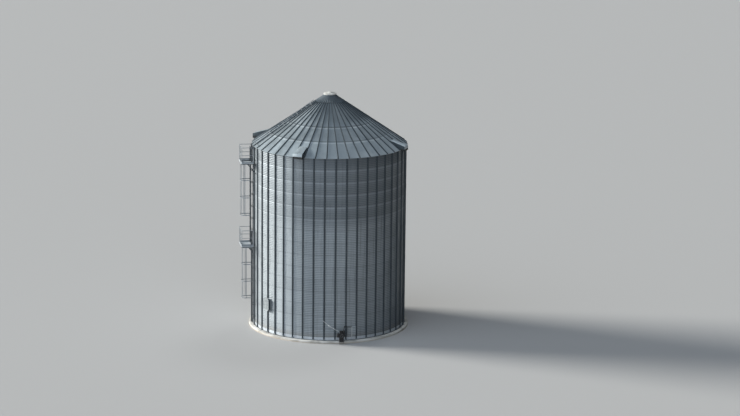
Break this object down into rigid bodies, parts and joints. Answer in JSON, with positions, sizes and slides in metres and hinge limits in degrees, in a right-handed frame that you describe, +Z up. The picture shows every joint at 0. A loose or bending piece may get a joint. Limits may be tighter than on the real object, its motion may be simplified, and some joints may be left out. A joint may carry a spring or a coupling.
{
  "type": "grain silo",
  "caption": "Round corrugated steel grain silo with a ribbed cone roof, caged ladder, rest platforms, side hatch and unload head on a concrete pad.",
  "frame": {"origin": "centre of the concrete pad's underside, at ground level", "axes": "+Z up; -Y towards the front of the picture; +X to the right of the picture"},
  "size_m": [11.3079, 10.8814, 15.738],
  "materials": {
    "concrete": "weathered cast concrete",
    "wall_steel": "weathered galvanised, corrugated",
    "roof_steel": "weathered galvanised, ribbed",
    "peak_steel": "dull galvanised, darkened by weather",
    "fitting_steel": "galvanised sheet",
    "ladder_steel": "hot dipped galvanised",
    "lid_paint": "chalky off-white",
    "dark_paint": "worn black enamel"
  },
  "bodies": {
    "silo": {"concrete_pad": "concrete", "wall_segment_01": "wall_steel", "wall_segment_02": "wall_steel", "wall_segment_03": "wall_steel", "wall_segment_04": "wall_steel", "wall_segment_05": "wall_steel", "wall_segment_06": "wall_steel", "wall_segment_07": "wall_steel", "wall_segment_08": "wall_steel", "wall_segment_09": "wall_steel", "wall_segment_10": "wall_steel", "wall_segment_11": "wall_steel", "hatch_wall": "wall_steel", "roof_sector_01": "roof_steel", "roof_sector_02": "roof_steel", "roof_sector_03": "roof_steel", "roof_sector_04": "roof_steel", "roof_sector_05": "roof_steel", "roof_sector_06": "roof_steel", "roof_sector_07": "roof_steel", "roof_sector_08": "roof_steel", "roof_sector_09": "roof_steel", "roof_sector_10": "roof_steel", "roof_sector_11": "roof_steel", "peak_skirt": "peak_steel", "fill_lid": "lid_paint", "roof_vent_1": "fitting_steel", "roof_vent_2": "fitting_steel", "roof_vent_3": "fitting_steel", "roof_vent_4": "fitting_steel", "hatch_frame": "fitting_steel", "lower_ladder": "ladder_steel", "upper_ladder": "ladder_steel", "eave_ladder": "ladder_steel", "roof_ladder": "ladder_steel", "lower_cage": "ladder_steel", "upper_cage": "ladder_steel", "rest_platform_1": "ladder_steel", "rest_platform_2": "ladder_steel", "guard_rail_1": "ladder_steel", "guard_rail_2": "ladder_steel", "unload_tube": "fitting_steel", "unload_head": "dark_paint", "wall_cover": "fitting_steel"},
    "hatch_door": {"hatch_door": "fitting_steel"}
  },
  "joints": [
    {"name": "hatch_hinge", "type": "hinge", "parent": "silo", "child": "hatch_door", "pos_m": [-3.93945, -3.43241, 2.065], "axis": [0, 0, 1], "range_deg": [0, 110]}
  ]
}
